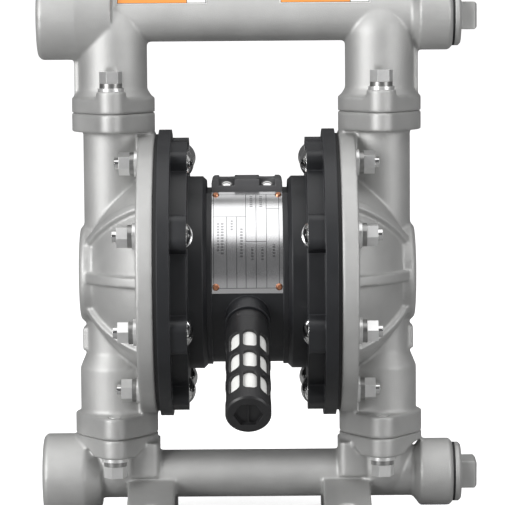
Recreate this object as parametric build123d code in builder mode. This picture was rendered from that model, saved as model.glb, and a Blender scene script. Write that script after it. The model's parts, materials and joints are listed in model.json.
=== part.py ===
from build123d import *
import os
from math import cos, radians, sin, sqrt

# Air operated double diaphragm pump, 1 inch ports.
# +X runs along the diaphragm rod, -Y is the front (nameplate and silencer), +Z is up.
# The origin lies on the floor, midway between the four foot holes.

os.makedirs("parts", exist_ok=True)

# ---- main axes -------------------------------------------------------------------
inlet_height = 33.2          # inlet manifold axis above the floor
column_x = 87.0              # valve columns, each side of the middle
outlet_rise = 167.2          # outlet manifold axis above the rod
inlet_drop = 133.8           # inlet manifold axis below the rod
joint_rise = 105.8           # flange joints, above and below the rod
axis_height = inlet_height + inlet_drop
outlet_z = axis_height + outlet_rise
top_joint_z = axis_height + joint_rise
bottom_joint_z = axis_height - joint_rise
rod_line = Axis((0, 0, axis_height), (1, 0, 0))

# ---- fits ------------------------------------------------------------------------
running_gap = 0.05           # radial, shaft in bore
seat_gap = 0.1               # radial, fixed piece in its pocket
bolt_gap = 0.3               # radial, bolt in a clearance hole
lift_gap = 0.15              # check ball above its seat

# ---- manifolds -------------------------------------------------------------------
pipe_r = 15.7
pipe_bore_r = 12.5
port_face_x = 135.5          # open port end, on the left
port_boss_r = 27.1
port_thread_r = 15.15        # G1 minor radius
port_depth = 20.0
outlet_boss_inner_x = 110.0  # where the open bosses stop being full size
inlet_boss_inner_x = 108.0
inlet_boss_root_x = 97.0     # foot of the inlet boss's sloping shoulder
plug_boss_face_x = 134.5     # plugged end, on the right
plug_boss_r = 22.2
plug_boss_inner_x = 113.0
boss_edge = 2.5              # rounding of the boss rims
leg_r = 21.0                 # inlet legs
outlet_leg_r = 22.4
leg_dome_drop = 12.2         # centre of the leg's dome below the outlet pipe axis
inlet_dome_rise = 5.5
leg_collar_r = 25.5          # cast fillet where a leg meets its flange
leg_collar = 5.0
rib_reach = 25.2             # outer rib of an outlet leg, out from the column axis
rib_thick = 9.0

# ---- two-bolt flanges ------------------------------------------------------------
flange_half_width = 27.1
flange_bolt_y = 30.0
flange_tip_r = 9.6
outlet_flange = 10.0
outlet_flange_boss = 14.5
bolt_head_room = 15.0        # spot facing above an outlet flange boss
inlet_flange = 12.4
inlet_flange_edge = 5.0      # inlet flange thickness at its sides
inlet_arch_r = 15.0          # arched underside of the inlet flange
cap_top_flange = 12.4
cap_bottom_flange = 14.3

# ---- feet ------------------------------------------------------------------------
foot_x = 64.0
foot_width = 30.5
foot_hole_y = 53.0
foot_hole_r = 6.5
foot_toe_y = 65.0
foot_toe_height = 14.5
foot_root_y = 13.0
foot_pad = 22.0
foot_arch_height = 19.0
foot_round = 6.0
gusset_outer_x = 79.3
gusset_inner_x = 59.0
gusset_face_y = 19.5
gusset_round = 4.5

# ---- fluid caps ------------------------------------------------------------------
cap_flange_r = 92.0
cap_flange_inner_x = 59.3    # face on the diaphragm
cap_flange_outer_x = 70.3
bowl_centre_x = 34.5         # the bowl is part of a sphere on the rod line
bowl_r = 73.3
end_boss_r = 32.0
end_boss_stand = 1.7         # flat end of the boss beyond the bowl
end_boss_x = bowl_centre_x + bowl_r + end_boss_stand
wall = 6.5
upper_column_r = 20.0
waist_r = 19.5
lower_column_r = 23.7
waist_drop = 52.0            # where the lower column starts to widen
shoulder_drop = 62.0
rib_height = 4.0
cap_rib_thick = 6.5
lug_drop = 43.0
lug_size = 15.0
lug_reach = 21.6             # outward from the column axis

# ---- diaphragms and rod ----------------------------------------------------------
diaphragm_r = 91.0
diaphragm_face_x = 57.2      # face on the air cap
clamp_r = 64.0               # the diaphragm is free inside this radius
wave_inset = 3.5             # inside the mouth of the fluid chamber
wave_width = 15.0
chamber_mouth_r = sqrt((bowl_r - wall) ** 2 - (cap_flange_inner_x - bowl_centre_x) ** 2)
wave_outer_r = chamber_mouth_r - wave_inset
wave_inner_r = wave_outer_r - wave_width
wave_height = 3.5
stroke = 8.0                 # rod travel each way
inner_plate_r = 42.0
inner_plate = 5.0
outer_plate_r = 38.0
outer_plate = 6.0
rod_r = 8.0
plate_screw_r = 4.0
plate_screw_grip = 14.0      # thread in the rod
plate_head_r = 8.0
plate_head = 5.0
pilot_r = 4.0
pilot_rise = 20.0
pilot_travel = 3.0
push_gap = 0.3               # left between plate and pilot rod at the end of a stroke

# ---- bolt circle of the chambers -------------------------------------------------
bolt_ring_r = 79.8
bolt_count = 8
bolt_start = 22.5
bolt_r = 4.0
flat_washer_r = 8.5
flat_washer = 2.2
spring_washer_r = 7.4
spring_washer = 3.0
nut_flats = 13.0
nut_height = 7.0
thread_end = 2.9
dome_head_r = 8.5
dome_head = 4.3
hex_head = 7.6
spot_face_r = 8.8            # room cut in the casting round each nut

# ---- air caps --------------------------------------------------------------------
air_rim_r = 94.0
air_rim_x = 49.2
air_ring_r = 81.0
air_face_x = 38.4
air_neck_r = 63.2
air_neck_x = 26.3
air_boss_r = 91.5
air_boss_width = 24.0
air_floor_x = 40.0
air_screw_r = 3.0
air_screw_ring_r = 30.0
air_screw_head_r = 5.0
air_screw_head = 6.0
air_screw_end_x = 12.0

# ---- centre body -----------------------------------------------------------------
body_r = 59.0
body_half = 23.0
body_rim_r = body_r + 1.4
bushing_r = 11.0
bushing_inner_x = 8.0
bushing_outer_x = 22.0
cover_half_y = 22.0
cover_base = body_r - 5.0    # above the rod
cover_top = cover_base + 8.5
cover_screw_x = 13.2
cover_screw_y = 14.0
cover_screw_r = 3.0
cover_head_r = 5.2
cover_head = 3.0
cover_recess = 4.2
cover_screw_depth = 14.0
plate_half = 22.8            # nameplate, half its width
plate_thick = 0.8
plate_gap = 0.05
plate_top_angle = 24.0       # from the vertical, round the body
plate_bottom_angle = 97.5
rivet_r = 2.3
rivet_inset = 2.6
rivet_head = 1.1
rivet_shank_r = 1.1
rivet_depth = 4.0

# ---- silencer --------------------------------------------------------------------
silencer_y = 4.0 - body_r
silencer_drop = 24.0
silencer_tilt = 30.0         # below the horizontal
silencer_boss_r = 14.5
silencer_boss = 7.0
silencer_port_r = 9.4
silencer_stub = 14.0
silencer_collar = 9.0
silencer_r = 14.2
silencer_wall = 2.0
silencer_length = 92.0
silencer_end_wall = 9.0
silencer_taper = 12.9
window_rows = 3
window_columns = 8
window_length = 16.5
window_width = 8.6
window_pitch = 21.0
window_first = 30.0
window_turn = -5.0
hex_recess_flats = 16.0
hex_recess = 3.0

# ---- air valve -------------------------------------------------------------------
valve_pad_y = body_r + 7.0
valve_pad_z = 24.0
gasket_thick = 1.0
valve_half_x = 29.0
valve_half_z = 25.0
valve_deep = 34.0
valve_edge = 2.5
spool_r = 9.0
spool_rise = 8.0
spool_y_in = 15.0            # spool axis behind the block's front face
spool_travel = 4.0
spool_end_gap = 1.0
spool_land = 9.0
spool_waist_r = 5.5
valve_cap = 5.0
valve_cap_half_y = 14.0
valve_cap_half_z = 14.0
valve_cap_screw_r = 2.0
valve_cap_screw_y = 10.5
valve_cap_screw_head_r = 3.5
valve_cap_screw_head = 2.5
valve_cap_screw_depth = 8.0
air_thread_r = 7.5           # G3/8 minor radius
air_port_drop = 13.0
air_port_depth = 12.0
valve_screw_r = 2.5
valve_screw_x = 18.0
valve_screw_z = 20.0
valve_screw_head_r = 4.25
valve_screw_head = 5.0
valve_screw_grip = 12.0

# ---- check valves ----------------------------------------------------------------
ball_r = 14.0
ball_lift = 6.0
chamber_r = 17.0
chamber_top = 35.0           # above the joint
seat_r = 19.0
seat_below = 5.0             # depth of the seat in the lower flange
seat_above = 3.0
seat_bore_r = 9.0
o_ring_r = 1.2
stop_r = 6.0
stop_thick = 3.0
seat_line = seat_bore_r + 2.0          # the 45 degree seat cone is r - z = seat_line
ball_rise = sqrt(2) * (ball_r + lift_gap) - seat_line
stop_rise = ball_rise + ball_lift + sqrt(ball_r**2 - stop_r**2) + lift_gap

# ---- port plugs ------------------------------------------------------------------
plug_collar_r = 19.5
plug_collar = 4.0
plug_square = 18.0
plug_square_length = 10.5
plug_round = 1.5
plug_gasket = 1.2
outlet_plug_turn = 0.0
inlet_plug_turn = 6.0

shuttle_end_x = diaphragm_face_x - inner_plate
pilot_half = shuttle_end_x - stroke + pilot_travel - push_gap
bolt_tip_x = cap_flange_outer_x + flat_washer + spring_washer + nut_height + thread_end
spool_y = valve_pad_y + gasket_thick + spool_y_in
spool_z = axis_height + spool_rise
valve_face_y = valve_pad_y + gasket_thick
valve_back_y = valve_face_y + valve_deep
spool_half = valve_half_x - spool_travel - spool_end_gap
valve_cap_corners = (
    (valve_cap_screw_y, valve_cap_screw_y),
    (-valve_cap_screw_y, -valve_cap_screw_y),
)
sides = (-1, 1)


def across(x):
    """Plane square to the rod at x, with +Y to its right and +Z up."""
    return Plane(origin=(x, 0, axis_height), x_dir=(0, 1, 0), z_dir=(1, 0, 0))


def level(x, z):
    """Horizontal plane over the point x, z."""
    return Plane(origin=(x, 0, z))


def upright(x, y, z):
    """Plane facing the front, with +X to its right and +Z up."""
    return Plane(origin=(x, y, z), x_dir=(1, 0, 0), z_dir=(0, -1, 0))


def dome(radius, height):
    """Low domed head standing on the XY plane."""
    ball = (radius**2 + height**2) / (2 * height)
    with BuildPart(mode=Mode.PRIVATE) as head:
        with Locations((0, 0, height - ball)):
            Sphere(ball)
        split(bisect_by=Plane.XY)
    return head.part


def bolt_ring(radius, thick, start_x, sides_count=0):
    """Round or hexagonal slices on the chamber bolt circle."""
    with BuildSketch(across(start_x)) as ring:
        with PolarLocations(bolt_ring_r, bolt_count, bolt_start):
            if sides_count:
                RegularPolygon(radius, sides_count, major_radius=False, rotation=30)
            else:
                Circle(radius)
    extrude(ring.sketch, amount=thick)


def bolt_ring_holes(radius, start_x, end_x):
    """Holes on the chamber bolt circle."""
    with BuildSketch(across(start_x)) as ring:
        with PolarLocations(bolt_ring_r, bolt_count, bolt_start):
            Circle(radius)
    extrude(ring.sketch, amount=end_x - start_x, mode=Mode.SUBTRACT)


def flange(x, z, thick):
    """Two-bolt diamond flange on a column, rising from z."""
    with BuildSketch(level(x, z)) as diamond:
        Circle(flange_half_width)
        with Locations((0, flange_bolt_y), (0, -flange_bolt_y)):
            Circle(flange_tip_r)
        make_hull()
    extrude(diamond.sketch, amount=thick)


def flange_circles(x, z, radius, thick, mode=Mode.ADD):
    """Round pads or holes at the two bolts of a flange."""
    with BuildSketch(level(x, z)) as circles:
        with Locations((0, flange_bolt_y), (0, -flange_bolt_y)):
            Circle(radius)
    extrude(circles.sketch, amount=thick, mode=mode)


def bore(x, z, radius, height):
    """Upright round cut on a column, rising from z."""
    with Locations((x, 0, z)):
        Cylinder(radius, height, align=(Align.CENTER, Align.CENTER, Align.MIN), mode=Mode.SUBTRACT)


def column(x, z, radius, height):
    """Upright round column rising from z."""
    with Locations((x, 0, z)):
        Cylinder(radius, height, align=(Align.CENTER, Align.CENTER, Align.MIN))


def ball_chamber(x, joint_z, passage_top_z):
    """Pocket for the seat and its ring, ball chamber, way out and four stop ribs."""
    bore(x, joint_z, seat_r + seat_gap, seat_above + 2 * o_ring_r)
    bore(x, joint_z, chamber_r, chamber_top)
    bore(x, joint_z, pipe_bore_r, passage_top_z - joint_z)
    rib_span = chamber_r - stop_r + 1
    rib_height_up = chamber_top - stop_rise + 1
    with Locations((x, 0, joint_z + stop_rise)):
        with PolarLocations(stop_r + rib_span / 2, 4, 45):
            Box(rib_span, stop_thick, rib_height_up, align=(Align.CENTER, Align.CENTER, Align.MIN))


def pipe_profile(z, boss_inner_x, boss_root_x, boss_root_r):
    """Outline of a manifold pipe with its two end bosses, turned about the pipe axis."""
    with BuildSketch(upright(0, 0, z)) as outline:
        with BuildLine():
            Polyline(
                (-port_face_x, 0),
                (-port_face_x, port_boss_r - boss_edge),
                (-port_face_x + boss_edge, port_boss_r),
                (-boss_inner_x, port_boss_r),
                (-boss_root_x, boss_root_r),
                (-boss_root_x, pipe_r),
                (plug_boss_inner_x - 2 * boss_edge, pipe_r),
                (plug_boss_inner_x, plug_boss_r),
                (plug_boss_face_x - boss_edge, plug_boss_r),
                (plug_boss_face_x, plug_boss_r - boss_edge),
                (plug_boss_face_x, 0),
                close=True,
            )
        make_face()
    revolve(outline.sketch, axis=Axis((0, 0, z), (1, 0, 0)))


def pipe_bores(z):
    """Through bore of a manifold with a thread wall at each end."""
    bore_start_x = port_depth - port_face_x
    bore_end_x = plug_boss_face_x - port_depth
    for radius, start_x, end_x in (
        (port_thread_r, -port_face_x, bore_start_x),
        (pipe_bore_r, bore_start_x, bore_end_x),
        (port_thread_r, bore_end_x, plug_boss_face_x),
    ):
        with BuildSketch(Plane(origin=(start_x, 0, z), z_dir=(1, 0, 0))) as round_face:
            Circle(radius)
        extrude(round_face.sketch, amount=end_x - start_x, mode=Mode.SUBTRACT)


# ==== manifolds ===================================================================

with BuildPart() as top_manifold:
    pipe_profile(outlet_z, outlet_boss_inner_x, column_x, outlet_leg_r)
    for side in sides:
        leg_x = side * column_x
        dome_z = outlet_z - leg_dome_drop
        column(leg_x, top_joint_z, outlet_leg_r, dome_z - top_joint_z)
        with Locations((leg_x, 0, dome_z)):
            Sphere(outlet_leg_r)
        flange(leg_x, top_joint_z, outlet_flange)
        flange_circles(leg_x, top_joint_z, flange_tip_r, outlet_flange_boss)
        with Locations((leg_x, 0, top_joint_z + outlet_flange)):
            Cone(
                leg_collar_r,
                outlet_leg_r,
                leg_collar,
                align=(Align.CENTER, Align.CENTER, Align.MIN),
            )
        rib_top_z = outlet_z - pipe_r
        with Locations((leg_x + side * rib_reach / 2, 0, top_joint_z)):
            Box(
                rib_reach,
                rib_thick,
                rib_top_z - top_joint_z,
                align=(Align.CENTER, Align.CENTER, Align.MIN),
            )
    for side in sides:
        ball_chamber(side * column_x, top_joint_z, outlet_z)
        flange_circles(
            side * column_x, top_joint_z, bolt_r + bolt_gap, outlet_flange_boss, Mode.SUBTRACT
        )
        flange_circles(
            side * column_x,
            top_joint_z + outlet_flange_boss,
            spot_face_r,
            bolt_head_room,
            Mode.SUBTRACT,
        )
    pipe_bores(outlet_z)
top_manifold.part.label = "top_manifold"
export_step(top_manifold.part, "parts/top_manifold.step")

with BuildPart() as bottom_manifold:
    for side in sides:
        flange(side * column_x, bottom_joint_z - inlet_flange, inlet_flange)
        for arch_side in sides:
            arch_x = side * column_x + arch_side * flange_half_width
            with Locations((arch_x, 0, bottom_joint_z - inlet_flange_edge - inlet_arch_r)):
                Cylinder(inlet_arch_r, 4 * flange_bolt_y, rotation=(90, 0, 0), mode=Mode.SUBTRACT)
    pipe_profile(inlet_height, inlet_boss_inner_x, inlet_boss_root_x, leg_r)
    for side in sides:
        leg_x = side * column_x
        dome_z = inlet_height + inlet_dome_rise
        column(leg_x, dome_z, leg_r, bottom_joint_z - dome_z)
        with Locations((leg_x, 0, dome_z)):
            Sphere(leg_r)
        flange_circles(leg_x, bottom_joint_z - inlet_flange, flange_tip_r, inlet_flange)
        # cast web that carries the flange and the feet
        web_x = side * (gusset_outer_x + gusset_inner_x) / 2
        with BuildSketch(level(web_x, inlet_height)):
            RectangleRounded(gusset_outer_x - gusset_inner_x, 2 * gusset_face_y, gusset_round)
        extrude(amount=bottom_joint_z - inlet_flange_edge - inlet_height)
        # sloping foot, front and back in one casting
        with BuildSketch(Plane.YZ.offset(side * foot_x - foot_width / 2)):
            with BuildLine():
                for half in sides:
                    Polyline(
                        (0, inlet_height - 1),
                        (half * foot_root_y, inlet_height - 1),
                        (half * foot_toe_y, foot_toe_height),
                        (half * foot_toe_y, 0),
                        (half * (foot_toe_y - foot_pad), 0),
                        (half * foot_root_y, foot_arch_height),
                        (0, foot_arch_height),
                    )
            make_face()
        extrude(amount=foot_width)
    for toe_y in (-foot_toe_y, foot_toe_y):
        upright_edges = bottom_manifold.edges().filter_by(Axis.Z)
        fillet(upright_edges.filter_by_position(Axis.Y, toe_y - 1, toe_y + 1), foot_round)
    for side in sides:
        leg_x = side * column_x
        bore(leg_x, inlet_height, pipe_bore_r, bottom_joint_z - inlet_height)
        bore(leg_x, bottom_joint_z - seat_below, seat_r + seat_gap, seat_below)
        flange_circles(
            leg_x, bottom_joint_z - inlet_flange, bolt_r + bolt_gap, inlet_flange, Mode.SUBTRACT
        )
        with BuildSketch(Plane.XY):
            with Locations((side * foot_x, foot_hole_y), (side * foot_x, -foot_hole_y)):
                Circle(foot_hole_r)
        extrude(amount=inlet_height, mode=Mode.SUBTRACT)
    pipe_bores(inlet_height)
bottom_manifold.part.label = "bottom_manifold"
export_step(bottom_manifold.part, "parts/bottom_manifold.step")

# ==== fluid caps ==================================================================

with BuildPart() as cap_rib:
    with BuildSketch(level(bowl_centre_x, axis_height)):
        Circle(bowl_r + rib_height)
        Circle(bowl_r - wall / 2, mode=Mode.SUBTRACT)
        with Locations((cap_flange_outer_x - bowl_centre_x, 0)):
            Rectangle(
                end_boss_x - boss_edge - cap_flange_outer_x,
                bowl_r + rib_height,
                align=Align.MIN,
                mode=Mode.INTERSECT,
            )
    extrude(amount=cap_rib_thick / 2, both=True)

with BuildPart() as right_fluid_cap:
    # round bowl, flange and end boss on the rod line
    with Locations((bowl_centre_x, 0, axis_height)):
        Sphere(bowl_r, rotation=(0, 90, 0))
    with Locations((cap_flange_inner_x, 0, axis_height)):
        Box(
            2 * bowl_r,
            2 * bowl_r,
            2 * bowl_r,
            align=(Align.MAX, Align.CENTER, Align.CENTER),
            mode=Mode.SUBTRACT,
        )
    with BuildSketch(across(cap_flange_inner_x)):
        Circle(cap_flange_r)
    extrude(amount=cap_flange_outer_x - cap_flange_inner_x)
    with BuildSketch(across(end_boss_x)):
        Circle(end_boss_r)
    extrude(amount=-end_boss_r)
    chamfer(right_fluid_cap.edges().group_by(Axis.X)[-1], boss_edge)
    # six ribs over the bowl, from the end boss to the flange
    for angle in (-45, 0, 45, 135, 180, 225):
        add(cap_rib.part.rotate(rod_line, angle))
    # columns: straight above, waisted below
    column(column_x, axis_height, upper_column_r, joint_rise)
    column(column_x, axis_height - shoulder_drop, waist_r, shoulder_drop)
    with Locations((column_x, 0, axis_height - shoulder_drop)):
        Cone(
            lower_column_r,
            waist_r,
            shoulder_drop - waist_drop,
            align=(Align.CENTER, Align.CENTER, Align.MIN),
        )
    column(column_x, bottom_joint_z, lower_column_r, joint_rise - shoulder_drop)
    # small cast lug on the outer side
    with Locations((column_x + lug_reach / 2, 0, axis_height - lug_drop)):
        Box(lug_reach, lug_size, lug_size)
    flange(column_x, top_joint_z - cap_top_flange, cap_top_flange)
    flange(column_x, bottom_joint_z, cap_bottom_flange)
    # fluid chamber behind the diaphragm
    with Locations((bowl_centre_x, 0, axis_height)):
        Sphere(bowl_r - wall, rotation=(0, 90, 0), mode=Mode.SUBTRACT)
    # ways to the check valves
    ball_chamber(column_x, bottom_joint_z, axis_height)
    bore(column_x, axis_height, pipe_bore_r, joint_rise)
    bore(column_x, top_joint_z - seat_below, seat_r + seat_gap, seat_below)
    flange_circles(
        column_x, top_joint_z - cap_top_flange, bolt_r + running_gap, cap_top_flange, Mode.SUBTRACT
    )
    flange_circles(
        column_x, bottom_joint_z, bolt_r + running_gap, cap_bottom_flange, Mode.SUBTRACT
    )
    bolt_ring_holes(bolt_r + bolt_gap, cap_flange_inner_x, cap_flange_outer_x)
    bolt_ring_holes(spot_face_r, cap_flange_outer_x, bolt_tip_x)
right_fluid_cap.part.label = "right_fluid_cap"
export_step(right_fluid_cap.part, "parts/right_fluid_cap.step")

with BuildPart() as left_fluid_cap:
    mirror(right_fluid_cap.part, about=Plane.YZ)
left_fluid_cap.part.label = "left_fluid_cap"
export_step(left_fluid_cap.part, "parts/left_fluid_cap.step")

# ==== check valves ================================================================

for place, joint_z in (("inlet", bottom_joint_z), ("outlet", top_joint_z)):
    for side, hand in zip(sides, ("left", "right")):
        name = f"{hand}_{place}_seat"
        with BuildPart() as valve_seat:
            with BuildSketch(upright(side * column_x, 0, joint_z)):
                with BuildLine():
                    Polyline(
                        (seat_bore_r, -seat_below),
                        (seat_r, -seat_below),
                        (seat_r, seat_above),
                        (seat_line + seat_above, seat_above),
                        (seat_bore_r, seat_bore_r - seat_line),
                        close=True,
                    )
                make_face()
            revolve(axis=Axis((side * column_x, 0, joint_z), (0, 0, 1)))
        valve_seat.part.label = name
        export_step(valve_seat.part, f"parts/{name}.step")

        name = f"{hand}_{place}_ball"
        with BuildPart() as valve_ball:
            with Locations((side * column_x, 0, joint_z + ball_rise)):
                Sphere(ball_r)
        valve_ball.part.label = name
        export_step(valve_ball.part, f"parts/{name}.step")

with BuildPart() as seat_o_rings:
    with Locations(
        *[
            (side * column_x, 0, joint_z + seat_above + o_ring_r)
            for side in sides
            for joint_z in (bottom_joint_z, top_joint_z)
        ]
    ):
        Torus(seat_r - o_ring_r, o_ring_r)
seat_o_rings.part.label = "seat_o_rings"
export_step(seat_o_rings.part, "parts/seat_o_rings.step")

# ==== port plugs ==================================================================

for name, plug_z, turn in (
    ("outlet_plug", outlet_z, outlet_plug_turn),
    ("inlet_plug", inlet_height, inlet_plug_turn),
):
    plug_face = Plane(
        origin=(plug_boss_face_x, 0, plug_z), x_dir=(0, 1, 0), z_dir=(1, 0, 0)
    )
    with BuildPart() as port_plug:
        with BuildSketch(plug_face.offset(plug_gasket)):
            Circle(plug_collar_r)
        extrude(amount=plug_collar)
        chamfer(port_plug.edges().group_by(Axis.X)[-1], plug_round)
        with BuildSketch(plug_face.offset(plug_gasket + plug_collar)):
            Rectangle(plug_square, plug_square, rotation=turn)
        extrude(amount=plug_square_length)
        chamfer(port_plug.edges().group_by(Axis.X)[-1], plug_round)
        with BuildSketch(plug_face.offset(plug_gasket)):
            Circle(port_thread_r - running_gap)
        extrude(amount=-(port_depth - 2))
    port_plug.part.label = name
    export_step(port_plug.part, f"parts/{name}.step")

with BuildPart() as plug_gaskets:
    for plug_z in (outlet_z, inlet_height):
        gasket_face = Plane(
            origin=(plug_boss_face_x, 0, plug_z), x_dir=(0, 1, 0), z_dir=(1, 0, 0)
        )
        with BuildSketch(gasket_face):
            Circle(plug_collar_r)
            Circle(port_thread_r, mode=Mode.SUBTRACT)
        extrude(amount=plug_gasket)
plug_gaskets.part.label = "plug_gaskets"
export_step(plug_gaskets.part, "parts/plug_gaskets.step")

# ==== air caps ====================================================================

with BuildPart() as right_air_cap:
    with BuildSketch(upright(0, 0, axis_height)):
        with BuildLine():
            Polyline(
                (air_neck_x, 0),
                (air_neck_x, air_neck_r - boss_edge),
                (air_neck_x + boss_edge, air_neck_r),
                (air_face_x, air_neck_r),
                (air_face_x, air_ring_r),
                (air_rim_x, air_ring_r),
                (air_rim_x, air_rim_r),
                (diaphragm_face_x, air_rim_r),
                (diaphragm_face_x, 0),
                close=True,
            )
        make_face()
    revolve(axis=rod_line)
    # bolt bosses, with pockets left between them
    with BuildSketch(across(air_face_x)):
        with PolarLocations(air_neck_r, bolt_count, bolt_start):
            RectangleRounded(
                2 * (air_boss_r - air_neck_r), air_boss_width, 0.25 * air_boss_width
            )
    extrude(amount=air_rim_x - air_face_x)
    # air chamber
    with BuildSketch(upright(0, 0, axis_height)):
        with BuildLine():
            Polyline(
                (air_floor_x, 0),
                (air_floor_x, inner_plate_r + 2),
                (air_rim_x, clamp_r - wall),
                (diaphragm_face_x, clamp_r),
                (diaphragm_face_x, 0),
                close=True,
            )
        make_face()
    revolve(axis=rod_line, mode=Mode.SUBTRACT)
    bolt_ring_holes(bolt_r + bolt_gap, air_face_x, diaphragm_face_x)
    with BuildSketch(across(air_neck_x)):
        Circle(rod_r + bolt_gap)
        with Locations((0, pilot_rise)):
            Circle(pilot_r + running_gap)
        with PolarLocations(air_screw_ring_r, 4, 45):
            Circle(air_screw_r + bolt_gap)
    extrude(amount=air_floor_x - air_neck_x, mode=Mode.SUBTRACT)
    with BuildSketch(across(air_floor_x)):
        with PolarLocations(air_screw_ring_r, 4, 45):
            Circle(air_screw_head_r + bolt_gap)
    extrude(amount=-air_screw_head, mode=Mode.SUBTRACT)
right_air_cap.part.label = "right_air_cap"
export_step(right_air_cap.part, "parts/right_air_cap.step")

with BuildPart() as left_air_cap:
    mirror(right_air_cap.part, about=Plane.YZ)
left_air_cap.part.label = "left_air_cap"
export_step(left_air_cap.part, "parts/left_air_cap.step")

with BuildPart() as air_cap_screws:
    with BuildSketch(across(air_floor_x)):
        with PolarLocations(air_screw_ring_r, 4, 45):
            Circle(air_screw_head_r)
            RegularPolygon(air_screw_r, 6, mode=Mode.SUBTRACT)
    extrude(amount=-air_screw_head)
    with BuildSketch(across(air_floor_x - air_screw_head / 2)):
        with PolarLocations(air_screw_ring_r, 4, 45):
            Circle(air_screw_r)
    extrude(amount=air_screw_end_x - air_floor_x + air_screw_head / 2)
    mirror(about=Plane.YZ)
air_cap_screws.part.label = "air_cap_screws"
export_step(air_cap_screws.part, "parts/air_cap_screws.step")

# ==== centre body =================================================================

silencer_dir = (0, -cos(radians(silencer_tilt)), -sin(radians(silencer_tilt)))
silencer_base = Plane(
    origin=(0, silencer_y, axis_height - silencer_drop), x_dir=(1, 0, 0), z_dir=silencer_dir
)

with BuildPart() as centre_body:
    with BuildSketch(across(-air_neck_x)):
        Circle(body_rim_r)
    extrude(amount=2 * air_neck_x)
    # the middle is a little smaller than its end rims
    with BuildSketch(across(-body_half)):
        Circle(body_rim_r + 1)
        Circle(body_r, mode=Mode.SUBTRACT)
    extrude(amount=2 * body_half, mode=Mode.SUBTRACT)
    # pad for the air valve at the back
    with Locations((0, 0, axis_height)):
        Box(
            2 * (body_half - 1),
            valve_pad_y,
            2 * valve_pad_z,
            align=(Align.CENTER, Align.MIN, Align.CENTER),
        )
    # boss for the silencer at the front
    with BuildSketch(silencer_base.offset(-silencer_boss_r)):
        Circle(silencer_boss_r)
    extrude(amount=silencer_boss_r + silencer_boss)
    # flat and lugs for the top cover
    with BuildSketch(Plane.XY.offset(axis_height + cover_base)):
        Rectangle(4 * body_half, 2 * body_r)
    extrude(amount=body_r, mode=Mode.SUBTRACT)
    with BuildSketch(silencer_base.offset(silencer_boss)):
        Circle(silencer_port_r + running_gap)
    extrude(amount=-silencer_stub - 2, mode=Mode.SUBTRACT)
    with BuildSketch(across(-air_neck_x)):
        Circle(rod_r + bolt_gap)
        with Locations((0, pilot_rise)):
            Circle(pilot_r + running_gap)
    extrude(amount=2 * air_neck_x, mode=Mode.SUBTRACT)
    for side in sides:
        with BuildSketch(across(side * air_neck_x)):
            Circle(bushing_r + seat_gap)
            with PolarLocations(air_screw_ring_r, 4, 45):
                Circle(air_screw_r + running_gap)
        extrude(amount=-side * (air_neck_x - bushing_inner_x), mode=Mode.SUBTRACT)
    with BuildSketch(Plane.XY.offset(axis_height + cover_base)):
        with GridLocations(2 * cover_screw_x, 2 * cover_screw_y, 2, 2):
            Circle(cover_screw_r + running_gap)
    extrude(amount=-cover_screw_depth, mode=Mode.SUBTRACT)
    with BuildSketch(Plane.XZ.offset(-valve_pad_y)):
        with Locations((0, axis_height)):
            with GridLocations(2 * valve_screw_x, 2 * valve_screw_z, 2, 2):
                Circle(valve_screw_r + running_gap)
    extrude(amount=valve_screw_grip + 1, mode=Mode.SUBTRACT)
    for angle in (plate_top_angle + 4, plate_bottom_angle - 4):
        out = (0, -sin(radians(angle)), cos(radians(angle)))
        for side in sides:
            spot = (
                side * (plate_half - rivet_inset),
                body_r * out[1],
                axis_height + body_r * out[2],
            )
            with BuildSketch(Plane(origin=spot, x_dir=(1, 0, 0), z_dir=out)):
                Circle(rivet_shank_r + running_gap)
            extrude(amount=-rivet_depth - 1, mode=Mode.SUBTRACT)
centre_body.part.label = "centre_body"
export_step(centre_body.part, "parts/centre_body.step")

with BuildPart() as rod_bushings:
    with BuildSketch(across(bushing_inner_x)):
        Circle(bushing_r)
        Circle(rod_r + running_gap, mode=Mode.SUBTRACT)
    extrude(amount=bushing_outer_x - bushing_inner_x)
    mirror(about=Plane.YZ)
rod_bushings.part.label = "rod_bushings"
export_step(rod_bushings.part, "parts/rod_bushings.step")

with BuildPart() as rod_seals:
    with BuildSketch(across(bushing_outer_x)):
        Circle(bushing_r)
        Circle(rod_r + running_gap, mode=Mode.SUBTRACT)
    extrude(amount=air_neck_x - bushing_outer_x)
    mirror(about=Plane.YZ)
rod_seals.part.label = "rod_seals"
export_step(rod_seals.part, "parts/rod_seals.step")

with BuildPart() as top_cover:
    with BuildSketch(Plane.XY.offset(axis_height + cover_base)):
        Rectangle(2 * body_half, 2 * cover_half_y)
    extrude(amount=cover_top - cover_base)
    fillet(top_cover.edges().filter_by(Axis.Y).group_by(Axis.Z)[-1], boss_edge)
    with BuildSketch(Plane.XY.offset(axis_height + cover_top)):
        with GridLocations(2 * cover_screw_x, 2 * cover_screw_y, 2, 2):
            Circle(cover_head_r + 2)
        with GridLocations(2 * cover_screw_x, 2 * cover_half_y, 2, 2):
            Rectangle(2 * cover_head_r, 2 * (cover_half_y - cover_screw_y))
    extrude(amount=-cover_recess, mode=Mode.SUBTRACT)
    with BuildSketch(Plane.XY.offset(axis_height + cover_base)):
        with GridLocations(2 * cover_screw_x, 2 * cover_screw_y, 2, 2):
            Circle(cover_screw_r + bolt_gap)
    extrude(amount=cover_top - cover_base, mode=Mode.SUBTRACT)
top_cover.part.label = "top_cover"
export_step(top_cover.part, "parts/top_cover.step")

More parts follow.
